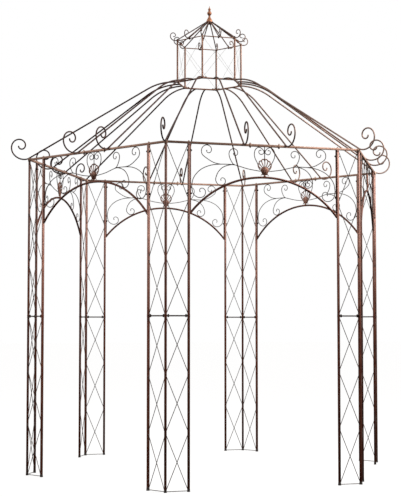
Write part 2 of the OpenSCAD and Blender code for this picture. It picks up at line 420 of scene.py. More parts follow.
# ------------------------------------------------------------------ materials
def paint(name, dark, mid, light, rub, rough=0.5, metal=0.35, seed=0.0, grain=1.0, rust=0.35, painted_light=None):
    """Antique brown coat over steel: dark ground, warmer cloudy patches, a dry-brushed copper
    bloom, pale rubbed grain, specks of rust, with bump and roughness that follow them. The last
    argument is (amount, axis, where it starts, where it is full, colour) of painted light: the colour paled towards one
    end along an axis, where more light falls."""
    mat = bpy.data.materials.new(name)
    mat.use_nodes = True
    nt = mat.node_tree
    nt.nodes.clear()
    N, L = nt.nodes.new, nt.links.new
    out = N("ShaderNodeOutputMaterial")
    bsdf = N("ShaderNodeBsdfPrincipled")
    L(bsdf.outputs[0], out.inputs[0])
    tc = N("ShaderNodeTexCoord")
    mp = N("ShaderNodeMapping")
    mp.inputs["Location"].default_value = (seed * 3.1, seed * 1.7, seed * 2.3)
    L(tc.outputs["Object"], mp.inputs["Vector"])

    def noise(scale, detail=3.0, roughness=0.55, distortion=0.0):
        n = N("ShaderNodeTexNoise")
        n.inputs["Scale"].default_value = scale
        n.inputs["Detail"].default_value = detail
        n.inputs["Roughness"].default_value = roughness
        n.inputs["Distortion"].default_value = distortion
        L(mp.outputs[0], n.inputs["Vector"])
        return n

    def ramp(src, stops):
        r = N("ShaderNodeValToRGB")
        while len(r.color_ramp.elements) < len(stops):
            r.color_ramp.elements.new(0.5)
        for e, (pos, col) in zip(r.color_ramp.elements, stops):
            e.position = pos
            e.color = col if len(col) == 4 else (*col, 1)
        L(src, r.inputs[0])
        return r

    def mix(a, b, fac):
        m = N("ShaderNodeMix")
        m.data_type = "RGBA"
        if isinstance(fac, float):
            m.inputs[0].default_value = fac
        else:
            L(fac, m.inputs[0])
        for sock, val in ((m.inputs[6], a), (m.inputs[7], b)):
            if isinstance(val, tuple):
                sock.default_value = (*val, 1)
            else:
                L(val, sock)
        return m.outputs[2]

    cloud = noise(1.6, 3.0, 0.6, 0.4)
    patch = noise(14.0 * grain, 4.0, 0.6, 0.6)
    fleck = noise(190.0 * grain, 3.0, 0.7)
    speck = noise(620.0, 2.0, 0.6)
    base = ramp(cloud.outputs[0], [(0.32, dark), (0.52, mid), (0.70, tuple(0.6 * a + 0.4 * b for a, b in zip(mid, light)))])
    pm = ramp(patch.outputs[0], [(0.42, (0, 0, 0)), (0.66, (1, 1, 1))])
    c1 = mix(base.outputs[0], light, pm.outputs[0])
    half = N("ShaderNodeMix")
    half.data_type = "RGBA"
    half.inputs[0].default_value = 0.45
    L(base.outputs[0], half.inputs[6])
    L(c1, half.inputs[7])
    fm = ramp(fleck.outputs[0], [(0.52, (0, 0, 0)), (0.70, (0.55, 0.55, 0.55))])
    c2 = mix(half.outputs[2], rub, fm.outputs[0])
    sm = ramp(speck.outputs[0], [(0.62, (0, 0, 0)), (0.74, (rust, rust, rust))])
    c3 = mix(c2, (0.21, 0.062, 0.018), sm.outputs[0])
    # painted light: the colour is blended, unevenly in patches, towards a pale tint along one axis, standing in for
    # light falling on that end
    if painted_light:
        amount, axis, za, zb, lit_tint = painted_light
        xyz = N("ShaderNodeSeparateXYZ")
        L(tc.outputs["Object"], xyz.inputs[0])
        up = N("ShaderNodeMapRange")
        up.inputs["From Min"].default_value = za
        up.inputs["From Max"].default_value = zb
        up.inputs["To Max"].default_value = amount
        L(xyz.outputs[axis], up.inputs["Value"])
        uneven = N("ShaderNodeMath")
        uneven.operation = "MULTIPLY"
        L(up.outputs[0], uneven.inputs[0])
        um = ramp(patch.outputs[0], [(0.30, (0.55, 0.55, 0.55)), (0.62, (1, 1, 1))])
        L(um.outputs[0], uneven.inputs[1])
        c3 = mix(c3, lit_tint, uneven.outputs[0])
    L(c3, bsdf.inputs["Base Color"])
    bsdf.inputs["Metallic"].default_value = metal
    bsdf.inputs["Specular IOR Level"].default_value = 0.22
    rr = N("ShaderNodeMapRange")
    rr.inputs["From Min"].default_value = 0.3
    rr.inputs["From Max"].default_value = 0.75
    rr.inputs["To Min"].default_value = rough + 0.12
    rr.inputs["To Max"].default_value = rough - 0.12
    L(fleck.outputs[0], rr.inputs["Value"])
    L(rr.outputs[0], bsdf.inputs["Roughness"])
    h1 = N("ShaderNodeMath")
    h1.operation = "MULTIPLY_ADD"
    L(speck.outputs[0], h1.inputs[0])
    h1.inputs[1].default_value = 0.35
    L(fleck.outputs[0], h1.inputs[2])
    h2 = N("ShaderNodeMath")
    h2.operation = "MULTIPLY_ADD"
    L(patch.outputs[0], h2.inputs[0])
    h2.inputs[1].default_value = 1.6
    L(h1.outputs[0], h2.inputs[2])
    bump = N("ShaderNodeBump")
    bump.inputs["Strength"].default_value = 0.35
    bump.inputs["Distance"].default_value = 0.0006
    L(h2.outputs[0], bump.inputs["Height"])
    L(bump.outputs[0], bsdf.inputs["Normal"])
    return mat


# painted light: the uprights' paint pales to a pinkish tan from 1.2 m up to 2.3 m, standing in for the light on their
# upper parts
M_POST = paint("upright_paint", (0.039, 0.0046, 0.0029), (0.078, 0.0140, 0.0072), (0.175, 0.060, 0.031), (0.27, 0.145, 0.088), metal=0.55, seed=1,
               painted_light=(0.62, 2, 1.2, 2.3, (0.205, 0.138, 0.118)))
M_WIRE = paint("lattice_paint", (0.030, 0.024, 0.022), (0.050, 0.040, 0.036), (0.085, 0.068, 0.060), (0.17, 0.14, 0.12), rough=0.5, metal=0.45, seed=2, grain=1.6)
# partly painted light: the beams' paint is a lighter tan than the uprights', raised further to stand in for the light
# on the eave beams
M_BEAM = paint("beam_paint", (0.11, 0.052, 0.036), (0.21, 0.118, 0.086), (0.36, 0.235, 0.18), (0.48, 0.36, 0.28), metal=0.4, seed=3)
M_ARCH = paint("arch_paint", (0.032, 0.0065, 0.0045), (0.062, 0.017, 0.011), (0.13, 0.052, 0.030), (0.24, 0.13, 0.08), metal=0.55, seed=4)
M_SCROLL = paint("scroll_paint", (0.013, 0.010, 0.009), (0.024, 0.018, 0.016), (0.055, 0.038, 0.031), (0.13, 0.095, 0.072), seed=5, grain=1.6)
# painted light: the rafters' paint pales towards the gazebo's right-hand side (x from -0.4 to 0.8 m), standing in for
# the light from the right; the left ones keep the dark ground
M_RAFTER = paint("rafter_paint", (0.012, 0.0036, 0.0032), (0.022, 0.0078, 0.0066), (0.058, 0.029, 0.023), (0.14, 0.088, 0.068), metal=0.5, seed=6,
                 painted_light=(0.78, 0, -0.4, 0.8, (0.255, 0.17, 0.138)))
M_LANT = paint("lantern_paint", (0.070, 0.027, 0.017), (0.135, 0.062, 0.041), (0.25, 0.145, 0.10), (0.37, 0.25, 0.18), metal=0.4, seed=7)
M_FINIAL = paint("finial_paint", (0.12, 0.038, 0.020), (0.22, 0.085, 0.044), (0.36, 0.18, 0.10), (0.46, 0.28, 0.18), metal=0.45, seed=8)
M_SHELL = paint("shell_paint", (0.075, 0.026, 0.017), (0.13, 0.055, 0.038), (0.23, 0.12, 0.085), (0.34, 0.21, 0.15), seed=9, grain=1.4)
M_BOLT = paint("bolt_paint", (0.010, 0.0045, 0.0035), (0.018, 0.008, 0.006), (0.042, 0.022, 0.016), (0.11, 0.07, 0.05), seed=10, rough=0.45)
M_KNUCKLE = paint("worn_joint_paint", (0.13, 0.066, 0.046), (0.25, 0.155, 0.115), (0.38, 0.27, 0.205), (0.50, 0.39, 0.31), metal=0.35, seed=12, grain=2.0)
M_CAP = paint("foot_cap", (0.010, 0.008, 0.007), (0.018, 0.013, 0.011), (0.036, 0.026, 0.021), (0.07, 0.05, 0.04), seed=11, rough=0.6, metal=0.0, rust=0.0)

for name in ("lantern_posts",):
    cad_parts[name].data.materials.clear()
    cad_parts[name].data.materials.append(M_LANT)

# ------------------------------------------------------------------ pillars
WIRE_R = 2.6 * MM
MID = EAVE / 2
PITCH = EAVE / 6
for k, name in enumerate(CORNERS):
    b = Build()
    hw = Build()
    caps = Build()
    for a in (0, 120):
        m = corner_m(k) @ Matrix.Rotation(math.radians(a), 4, "Z")
        x0, x1 = POST_R / math.cos(math.radians(30)) - 0.8 * MM, PANEL - POST_R + 0.4 * MM
        for i in range(6):
            for s in (0, 1):
                y = (WIRE_R * 0.9) * (1 if s else -1)
                za, zb = (i * PITCH, (i + 1) * PITCH) if s else ((i + 1) * PITCH, i * PITCH)
                slope = (zb - za) / PANEL
                p0 = (x0, y, za + slope * x0)
                p1 = (x1, y, za + slope * x1)
                if p0[2] > BEAM_LOW or p1[2] > BEAM_LOW:
                    # the top wires end under the beam
                    t = (BEAM_LOW - za) / slope
                    if p0[2] > BEAM_LOW:
                        p0 = (t, y, BEAM_LOW)
                    else:
                        p1 = (t, y, BEAM_LOW)
                b.sweep([p0, p1], WIRE_R, 8, m, ends="flat")
                for p in (p0, p1):
                    b.bead(p, WIRE_R * 1.55, m, 0.8, (1, 0, 0))
            b.bead((PANEL / 2, 0, (i + 0.5) * PITCH), WIRE_R * 1.5, m, 1.0, (0, 1, 0))
        for z in (7.5 * MM, MID - 2.6 * MM, MID + 2.6 * MM):
            b.sweep([(x0, 0, z), (x1, 0, z)], 2.6 * MM, 10, m, ends="flat")
            for x in (x0, x1):
                b.bead((x, 0, z), 3.9 * MM, m, 0.8, (1, 0, 0))
        # the two halves of the pillar are bolted together through the level bars
        for x in (POST_R + 12 * MM, PANEL - POST_R - 12 * MM):
            hw.hexbolt((x, 0, MID + 5 * MM), (0, 0, 1), 6 * MM, 6 * MM, m, stud=1.5 * MM)
            hw.hexbolt((x, 0, MID - 5 * MM), (0, 0, -1), 6 * MM, 5 * MM, m)
            b.ball((x, 0, MID), 5.4 * MM, m, 0.95, (0, 0, 1))
    b.object(name + "_lattice_wires", M_WIRE, "lattice_paint", (name + "_pillar_lattice",))
    # bolts that hold the arch panels, through the inner uprights
    for a, sgn in ((0, 1), (120, 1)):
        m = corner_m(k) @ Matrix.Rotation(math.radians(a), 4, "Z")
        for z in (EAVE - 55 * MM, EAVE - 365 * MM):
            hw.hexbolt((PANEL - POST_R + 0.6 * MM, 0, z), (-1, 0, 0), 7.0 * MM, 6.5 * MM, m, stud=2 * MM)
            hw.hexbolt((PANEL + POST_R + 2 * SIDE_BAR_R - 0.8 * MM, 0, z), (1, 0, 0), 6.5 * MM, 6.0 * MM, m, stud=2.5 * MM)
    hw.object(name + "_bolts", M_BOLT, "upright_paint")
    # the square uprights, each in two lengths that meet at mid-height, with end caps on the
    # feet, sleeves over the middle joints and collars under the eaves
    seams = Build()
    tubes = Build()
    m0 = corner_m(k)
    turn = Matrix.Rotation(math.radians(120), 4, "Z")
    stands = ((m0 @ Matrix.Rotation(math.radians(60), 4, "Z"), BEAM_TOP),
              (m0 @ Matrix.Translation((PANEL, 0, 0)), BEAM_LOW + 0.4 * MM),
              (m0 @ turn @ Matrix.Translation((PANEL, 0, 0)), BEAM_LOW + 0.4 * MM))
    for i, (mp, top) in enumerate(stands):
        tubes.squares([(POST_R - 0.5 * MM, 0.5 * MM), (POST_R, 1.0 * MM), (POST_R, MID - 0.8 * MM), (POST_R - 0.7 * MM, MID - 0.3 * MM),
                       (POST_R - 0.7 * MM, MID + 0.3 * MM), (POST_R, MID + 0.8 * MM), (POST_R, top - 0.6 * MM), (POST_R - 0.5 * MM, top)], mp)
        # the tube's weld line, on the face that looks inwards
        tubes.add([(-0.5 * MM, POST_R - 0.1 * MM, 24 * MM), (0.5 * MM, POST_R - 0.1 * MM, 24 * MM), (0.3 * MM, POST_R + 0.12 * MM, 24 * MM), (-0.3 * MM, POST_R + 0.12 * MM, 24 * MM),
                   (-0.5 * MM, POST_R - 0.1 * MM, top - 20 * MM), (0.5 * MM, POST_R - 0.1 * MM, top - 20 * MM), (0.3 * MM, POST_R + 0.12 * MM, top - 20 * MM), (-0.3 * MM, POST_R + 0.12 * MM, top - 20 * MM)],
                  [(0, 1, 2, 3), (7, 6, 5, 4), (0, 4, 5, 1), (1, 5, 6, 2), (2, 6, 7, 3), (3, 7, 4, 0)], mp)
        caps.squares([(POST_R + 0.6 * MM, 0.0), (POST_R + 1.6 * MM, 1.0 * MM), (POST_R + 1.6 * MM, 3.5 * MM), (POST_R + 0.9 * MM, 6.0 * MM),
                      (POST_R + 0.7 * MM, 18 * MM), (POST_R + 0.4 * MM, 20.5 * MM), (POST_R - 0.4 * MM, 21.2 * MM)], mp, r=2.0 * MM)
        for z in (MID - 10 * MM, MID + 0.6 * MM):
            seams.squares([(POST_R - 0.4 * MM, z), (POST_R + 0.7 * MM, z + 0.6 * MM), (POST_R + 0.8 * MM, z + 8.6 * MM), (POST_R - 0.3 * MM, z + 9.4 * MM)], mp, r=1.8 * MM)
        if i:
            seams.squares([(POST_R - 0.2 * MM, BEAM_LOW - 9 * MM), (POST_R + 1.2 * MM, BEAM_LOW - 8.2 * MM), (POST_R + 1.4 * MM, BEAM_LOW - 3 * MM),
                           (POST_R + 0.5 * MM, BEAM_LOW - 0.4 * MM), (POST_R - 1.0 * MM, BEAM_LOW + 1.4 * MM)], mp, r=2.0 * MM)
    tubes.object(name + "_upright_tubes", M_POST, "upright_paint", (name + "_pillar_posts",), angle=50)
    caps.object(name + "_feet", M_CAP, "upright_paint", angle=50)
    # the worn knuckle where the eave beams meet over the corner post
    kn = Build()
    kn.squares([(POST_R - 0.5 * MM, BEAM_LOW - 7 * MM), (POST_R + 2.6 * MM, BEAM_LOW - 6 * MM), (POST_R + 3.4 * MM, BEAM_LOW - 2 * MM),
                (POST_R + 3.8 * MM, BEAM_LOW + 5 * MM), (POST_R + 3.6 * MM, BEAM_TOP - 2.5 * MM), (POST_R + 2.0 * MM, BEAM_TOP + 1.6 * MM),
                (POST_R - 3 * MM, BEAM_TOP + 3.0 * MM), (1.0 * MM, BEAM_TOP + 3.4 * MM)], stands[0][0], r=3.0 * MM)
    kn.object(name + "_knuckle", M_KNUCKLE, "beam_paint", angle=50)
    seams.object(name + "_joint_collars", M_POST, "upright_paint", angle=50)

# each eave beam is two tubes joined by a sleeve: its worn ends and the bolts through them,
# and the bolt heads over the inner uprights
SLEEVE = 121 * MM
for k, name in enumerate(SIDES):
    m = side_m(k)
    sl = Build()
    hw = Build()
    tube = Build()
    along = m @ Matrix.Translation((0, 0, EAVE)) @ Matrix.Rotation(math.radians(90), 4, "Y")
    end = HALF - 5.0 * MM
    tube.squares([(BEAM_R - 0.5 * MM, -end), (BEAM_R, -end + 0.6 * MM), (BEAM_R, -0.8 * MM), (BEAM_R, 0.8 * MM),
                  (BEAM_R, end - 0.6 * MM), (BEAM_R - 0.5 * MM, end)], along)
    tube.object(name + "_beam_tube", M_BEAM, "beam_paint", (name + "_eave_beam",), angle=50)
    sl.squares([(BEAM_R - 0.4 * MM, -SLEEVE), (BEAM_R + 1.0 * MM, -SLEEVE + 0.8 * MM), (BEAM_R + 1.2 * MM, -SLEEVE + 4 * MM),
                (BEAM_R + 1.2 * MM, SLEEVE - 4 * MM), (BEAM_R + 1.0 * MM, SLEEVE - 0.8 * MM), (BEAM_R - 0.4 * MM, SLEEVE)], along, r=2.0 * MM)
    sl.object(name + "_beam_sleeve", M_BEAM, "beam_paint", angle=50)
    for s in (-1, 1):
        x = s * (SLEEVE - 9 * MM)
        hw.squares([(BEAM_R + 0.9 * MM, x - 9 * MM), (BEAM_R + 2.6 * MM, x - 7.8 * MM), (BEAM_R + 3.0 * MM, x - 4 * MM),
                    (BEAM_R + 3.0 * MM, x + 4 * MM), (BEAM_R + 2.6 * MM, x + 7.8 * MM), (BEAM_R + 0.9 * MM, x + 9 * MM)], along, r=2.6 * MM)
        hw.hexbolt((x, 0, BEAM_TOP + 2.6 * MM), (0, 0, 1), 6.0 * MM, 6.0 * MM, m, stud=2.5 * MM)
        hw.hexbolt((x, 0, BEAM_LOW - 2.6 * MM), (0, 0, -1), 6.0 * MM, 6.0 * MM, m, stud=2.5 * MM)
        hw.hexbolt((s * INNER, 0, BEAM_TOP - 0.6 * MM), (0, 0, 1), 6.5 * MM, 6.5 * MM, m, stud=1.5 * MM)
    hw.object(name + "_beam_bolts", M_KNUCKLE, "beam_paint")

# ------------------------------------------------------------------ arches
for k, name in enumerate(SIDES):
    b = Build()
    m = side_m(k)
    pts = arc((0, ARCH_Z0), ARCH_R, 90 + math.degrees(ARCH_A), 90 - math.degrees(ARCH_A), 72)
    b.sweep(plane(pts), ARCH_BAR_R, 20, m, normal=(0, 1, 0), ends="flat")
    for s in (-1, 1):
        b.rod((s * SIDE_BAR_S, 0, SPRING - 10 * MM), (s * SIDE_BAR_S, 0, BEAM_LOW + 0.2 * MM), SIDE_BAR_R, 16, m, chamfer=0.8 * MM)
        e = (s * (SIDE_BAR_S - 2.5 * MM), 0, SPRING + 1 * MM)
        b.weld_ring(e, (s * math.cos(ARCH_A), 0, -math.sin(ARCH_A)), ARCH_BAR_R - 0.6 * MM, 2.4 * MM, m)
        for z in (SPRING - 4 * MM, BEAM_LOW - 2 * MM):
            b.bead((s * (SIDE_BAR_S + 1 * MM), 0, z), 5.2 * MM, m, 0.8, (0, 0, 1))
    b.object(name + "_arch_bar", M_ARCH, "arch_paint", (name + "_arch",))

# ------------------------------------------------------------------ scrollwork
JOINT = (-240, 2334)


def mm(points):
    return [(q[0] * MM, q[1] * MM) for q in points]


def scroll_lines():
    return {
        "upper": smooth([(-335, 2333), (-380, 2339), (-420, 2356)], 4) + spiral((-436, 2429.9), 55, 8, 238, -170, 56)[1:],
        "inner": smooth([JOINT, (-257, 2358), (-270, 2384)], 4) + spiral((-232, 2416), 45, 7, 205, -170, 52)[1:],
        "lower": smooth([JOINT, (-290, 2325), (-335, 2302), (-366, 2263)], 6) + spiral((-330, 2216.8), 50, 7, 155, 535, 54)[1:],
        "great": smooth([JOINT, (-335, 2333), (-420, 2321), (-495, 2285), (-545, 2225), (-557.9, 2160)], 8)
        + spiral((-486, 2133), 72, 9, 185, 560, 60, 0.6)[1:],
        "stem": smooth([JOINT, (-180, 2319), (-120, 2304), (-22, 2291)], 6),
        "crown": smooth([(-45, 2321), (-55, 2350), (-74, 2387), (-79, 2419), (-71, 2450), (-47, 2467.9), (-22, 2460),
                         (-3, 2439), (11, 2422), (26, 2415), (40, 2421), (46, 2434), (40, 2446), (30, 2446)], 8),
    }


LINES = scroll_lines()
SCROLL_R = 3.0 * MM
SHELL_FOOT = CROWN + ARCH_BAR_R - 0.4 * MM
SHELL_C = CROWN + 49 * MM


def shell_r(i):
    return (81 - 3.1 * i * i + 0.03 * i ** 4) * MM


def shell_tip(i, k=1.0, y=0.0):
    a = math.radians(90 + 20 * i)
    return (k * shell_r(i) * math.cos(a), y, SHELL_C + k * shell_r(i) * math.sin(a))


def shield(b, outline, y_front, y_back, crown, m, rings=7):
    """A domed plate with this outline (x, z), pillowed towards the front."""
    pts = [Vector((q[0], 0, q[1])) for q in outline]
    mid = sum(pts, Vector()) / len(pts)
    verts, faces, n = [], [], len(pts)
    for side, y0, h in ((0, y_front, -crown), (1, y_back, crown * 0.45)):
        start = len(verts)
        for r in range(rings):
            t = 1 - r / rings
            y = y0 + h * math.sqrt(max(0.0, 1 - t * t))
            for q in pts:
                v = mid + (q - mid) * t
                verts.append(Vector((v.x, y, v.z)))
        verts.append(Vector((mid.x, y0 + h, mid.z)))
        top = len(verts) - 1
        for r in range(rings - 1):
            for j in range(n):
                a, c = start + r * n + j, start + r * n + (j + 1) % n
                faces.append((a, c, c + n, a + n))
        for j in range(n):
            faces.append((start + (rings - 1) * n + j, start + (rings - 1) * n + (j + 1) % n, top))
        if side == 0:
            first = start
    for j in range(n):
        faces.append((first + j, first + (j + 1) % n, start + (j + 1) % n, start + j))
    b.add(verts, faces, m)


def petal_shell(b, m):
    """An openwork scallop: seven fluted ribs from a domed heart to a scalloped rim."""
    c = Vector((0, 0, SHELL_C))
    for i in range(-3, 4):
        a = math.radians(90 + 20 * i)
        d = Vector((math.cos(a), 0, math.sin(a)))
        s = Vector((-math.sin(a), 0, math.cos(a)))
        n = 18
        line = []
        for j in range(n + 1):
            t = j / n
            r = 12 * MM + (shell_r(i) - 12 * MM) * t
            line.append(c + d * r + Vector((0, -(2.0 + 3.4 * math.sin(math.pi * t)) * MM, 0)))
        b.sweep(line, 3.6 * MM, 12, m, normal=(0, 1, 0), radius=lambda t: 0.62 + 0.42 * t + 0.10 * math.sin(math.pi * t), flat=0.8)
        # a rounded bead ends each rib on the rim
        tip = Vector(shell_tip(i, 0.985, -2.0 * MM))
        b.ball(tip, (5.6 if i else 6.6) * MM, m, 1.0, (0, 1, 0), 14, 8)
    rim = [(26 * MM, -1.0 * MM, SHELL_C + 2 * MM), (38 * MM, -1.0 * MM, SHELL_C + 10 * MM)]
    i = -3.0
    while i <= 3.01:
        whole = abs(i - round(i)) < 0.01
        rim.append(shell_tip(i, 1.0 if whole else 1.065, -1.0 * MM))
        i += 0.5
    rim += [(-38 * MM, -1.0 * MM, SHELL_C + 10 * MM), (-26 * MM, -1.0 * MM, SHELL_C + 2 * MM)]
    rim = smooth(rim, 6)
    b.sweep(rim, 4.0 * MM, 12, m, normal=(0, 1, 0), flat=0.95)
    # domed heart, shield-shaped, with a rolled edge and a boss
    heart = [(-9, -30), (-16, -27), (-21, -18), (-26, -8), (-28, 3), (-26, 13), (-20, 21), (-11, 27), (0, 31),
             (11, 27), (20, 21), (26, 13), (28, 3), (26, -8), (21, -18), (16, -27), (9, -30), (0, -31)]
    closed = [tuple(v) for v in smooth([(q[0] * MM, SHELL_C + q[1] * MM) for q in heart + heart[:1]], 3)][:-1]
    shield(b, closed, -3.5 * MM, 2.5 * MM, 7.5 * MM, m)
    edge = [(q[0], -3.0 * MM, q[1]) for q in closed + closed[:2]]
    b.sweep(edge, 2.2 * MM, 8, m, normal=(0, 1, 0), ends="flat")
    for s in (-1, 0, 1):
        flute = smooth([(s * 2.5 * MM, -8.0 * MM, SHELL_C - 24 * MM), (s * 7 * MM, -11.0 * MM, SHELL_C - 8 * MM),
                        (s * 12.5 * MM, -9.6 * MM, SHELL_C + 12 * MM)], 6)
        b.sweep(flute, 2.4 * MM, 8, m, radius=lambda t: 0.6 + 0.5 * math.sin(math.pi * t))
    # two small leaves that curl down and out from the heart's point
    for s in (-1, 1):
        leaf = smooth([(s * 4, -24), (s * 12, -23), (s * 21, -27), (s * 29, -34), (s * 31, -38)], 6)
        b.sweep([(q[0] * MM, -1.5 * MM, SHELL_C + q[1] * MM) for q in leaf], 4.2 * MM, 10, m, normal=(0, 1, 0),
                radius=lambda t: 0.55 + 0.55 * math.sin(math.pi * min(t * 1.15, 1.0)) - 0.2 * t, flat=0.8)
    # foot on the crown of the arch
    b.lathe_axis((0, 0, SHELL_FOOT - 1 * MM), (0, 0, 9), [
        (0, 0), (9.6 * MM, 0), (10.6 * MM, 1.6 * MM), (8.6 * MM, 4 * MM), (6.2 * MM, 7 * MM), (6.6 * MM, 11 * MM),
        (8.5 * MM, 15 * MM), (0, 22 * MM)], 24, m)


for k, name in enumerate(SIDES):
    b = Build()
    m = side_m(k)
    for s in (1, -1):
        for key, line in LINES.items():
            pts = [(s * q[0], q[1]) for q in mm(line)]
            pts = even(relax(pts, 2), 5.5 * MM)
            y = {"upper": 0.0, "inner": 1.2, "lower": -1.2, "great": 0.0, "stem": 0.0, "crown": 1.4 * s}[key] * MM

            def taper(t, key=key):
                return 1.0 if t < 0.86 else 1.0 - 0.16 * (t - 0.86) / 0.14
            b.sweep(plane(pts, y), SCROLL_R, 10, m, normal=(0, 1, 0), radius=taper)
            # the wire ends in a small forged knob
            end = pts[-1]
            if key != "stem":
                b.ball((end[0], y, end[1]), 4.3 * MM, m, 1.0, (0, 1, 0), 12, 8)
        j = (s * JOINT[0] * MM, JOINT[1] * MM)
        # collar that gathers the wires at the joint, and one where the stem meets the shell
        b.lathe_axis((j[0] - s * 2 * MM, 0, j[1] + 0.3 * MM), (j[0] + s * 20 * MM, 0, j[1] - 3.6 * MM), [
            (0, 0), (4.6 * MM, 0), (5.4 * MM, 1.2 * MM), (4.8 * MM, 2.6 * MM), (5.4 * MM, 4.2 * MM), (4.8 * MM, 5.8 * MM), (5.4 * MM, 7.2 * MM), (4.6 * MM, 8.4 * MM), (0, 8.4 * MM)], 20, m)
        b.bead((s * -335 * MM, 0, 2333 * MM), 4.0 * MM, m, 0.8)
        b.bead((s * -559 * MM, 0, 2160 * MM), 4.2 * MM, m, 1.4, (0, 0, 1))
        b.bead((s * -436 * MM, 0, 2468 * MM), 4.2 * MM, m, 0.9, (1, 0, 0))
        b.bead((s * -344 * MM, 0, 2181 * MM), 4.2 * MM, m, 0.9, (1, 0, 0))
        b.bead((s * -46 * MM, 0, 2468.5 * MM), 5.0 * MM, m, 0.8, (0, 0, 1))
        b.bead((s * -46 * MM, 0, 2331 * MM), 4.4 * MM, m, 0.9)
    # stem from the shell up to the beam, with a knob on the rim and a bud where the curls cross
    z0 = SHELL_C + 76 * MM
    b.lathe_axis((0, 0, z0), (0, 0, 9), [
        (0, 0), (5.0 * MM, 2 * MM), (6.6 * MM, 7 * MM), (5.6 * MM, 12 * MM), (3.2 * MM, 17 * MM), (3.0 * MM, 52 * MM),
        (4.4 * MM, 56 * MM), (7.4 * MM, 62 * MM), (8.0 * MM, 66 * MM), (6.4 * MM, 71 * MM), (3.6 * MM, 76 * MM),
        (3.0 * MM, 80 * MM), (3.0 * MM, BEAM_LOW + 0.4 * MM - z0), (0, BEAM_LOW + 0.4 * MM - z0)], 18, m)
    b.object(name + "_scroll_wires", M_SCROLL, "scroll_paint", (name + "_scrollwork",))
    sh = Build()
    petal_shell(sh, m)
    sh.object(name + "_shell", M_SHELL, "scroll_paint", angle=50)

# ------------------------------------------------------------------ roof
BEND = 463 * MM


def rafter_line(r0, r1):
    dz = LB - RAF_Z
    dr = r1 - r0
    h = math.hypot(dr, dz - BEND)
    f = math.pi / 2 - math.acos(BEND / h) + math.atan2(dz - BEND, dr)
    over = 5 * MM
    e = (r1 + over, RAF_Z - over * math.tan(f))
    up = 67 * MM
    c = (e[0] + up * math.sin(f), e[1] + up * math.cos(f))
    fd = math.degrees(f)
    q = (c[0] + up * math.cos(math.radians(264)), c[1] + up * math.sin(math.radians(264)))
    r = 112 * MM
    vc = (q[0] - r * math.cos(math.radians(-109)), q[1] - r * math.sin(math.radians(-109)))
    top = arc((r0, LB - BEND), BEND, 90, 90 - fd, 24)
    low = arc(c, up, 270 - fd, 264, 8)
    end = volute(vc, r, -109, 455, 130)[1:]
    return top, low, end


def whole_rafter(r0, r1):
    top, low, end = rafter_line(r0, r1)
    a, c = Vector(top[-1]), Vector(low[0])
    n = 30
    mid = [tuple(a.lerp(c, i / n)) for i in range(1, n)]
    return relax(top + mid + low + end, 1)


SA = math.degrees(math.atan2(0.1 * 2 * HALF, APO))
OFF = 13 * MM


def pair_m(k, s):
    return radial_m(60 * k) @ Matrix.Translation((s * OFF, 0, 0)) @ radial_m(270 + s * SA)


jobs = [(CORNERS[k] + "_corner_rafter", [radial_m(240 + 60 * k)], LR + 6 * MM, RAD) for k in range(6)]
jobs += [(SIDES[k] + "_rafters", [pair_m(k, -1), pair_m(k, 1)],
          (LR * math.cos(math.radians(30)) + 6 * MM) / math.cos(math.radians(SA)),
          APO / math.cos(math.radians(SA))) for k in range(6)]
for name, places, r0, r1 in jobs:
    b = Build()
    hw = Build()
    line = whole_rafter(r0, r1)
    for m in places:

        def taper(t):
            return 1.04 if t < 0.66 else 1.04 - 0.10 * min(1.0, (t - 0.66) / 0.10)
        b.sweep(plane(line), RAF_R, 16, m, normal=(0, 1, 0), radius=taper)
        # knob at the scroll's end
        b.ball((line[-1][0], 0, line[-1][1]), 6.0 * MM, m, 1.0, (0, 1, 0), 16, 10)
        # flattened tab and weld at the lantern's ring
        b.ball((r0 + 1 * MM, 0, LB), 6.6 * MM, m, 1.0, (1, 0, 0), 14, 8)
        b.lathe_axis((r0 + 4 * MM, 0, LB), (9, 0, LB), [(RAF_R, 0), (6.2 * MM, 2 * MM), (6.2 * MM, 16 * MM), (RAF_R, 20 * MM)], 18, m)
        # flattened seat where the bend rests on the eave beam, with its weld each side
        hw.ball((r1, 0, RAF_Z - RAF_R + 2.2 * MM), 10.5 * MM, m, 0.42, (0, 0, 1), 18, 10)
        for sx in (-1, 1):
            b.bead((r1 + sx * 8 * MM, 0, RAF_Z - RAF_R + 3.4 * MM), 5.0 * MM, m, 0.6, (0, 0, 1))
    b.object(name + "_rods", M_RAFTER, "rafter_paint", (name,))
    hw.object(name + "_seats", M_RAFTER, "rafter_paint")

# ------------------------------------------------------------------ lantern
b = Build()
hw = Build()
for k in range(6):
    a0, a1 = math.radians(60 * k), math.radians(60 * k + 60)
    p0 = Vector((LR * math.cos(a0), LR * math.sin(a0), LB))
    p1 = Vector((LR * math.cos(a1), LR * math.sin(a1), LB))
    b.sweep([p0, p1], 6.5 * MM, 16, ends="flat")
    b.ball(p0, 7.6 * MM, None, 1.0)
    d = (p1 - p0).normalized()
    # foot of each post: a short bent tab along the ring, with its bolt
    for sgn, p in ((1, p0), (-1, p1)):
        q = [p + Vector((0, 0, 34 * MM)), p + d * sgn * 2 * MM + Vector((0, 0, 22 * MM)), p + d * sgn * 9 * MM + Vector((0, 0, 12 * MM)),
             p + d * sgn * 20 * MM + Vector((0, 0, 7.2 * MM)), p + d * sgn * 34 * MM + Vector((0, 0, 6.4 * MM))]
        b.sweep(smooth([tuple(v) for v in q], 6), 3.2 * MM, 10)
        hw.hexbolt(p + d * sgn * 31 * MM + Vector((0, 0, 7 * MM)), (0, 0, 1), 5.0 * MM, 5.0 * MM, None, stud=1.5 * MM)
b.object("lantern_base_bars", M_LANT, "lantern_paint", ("lantern_base_ring",))

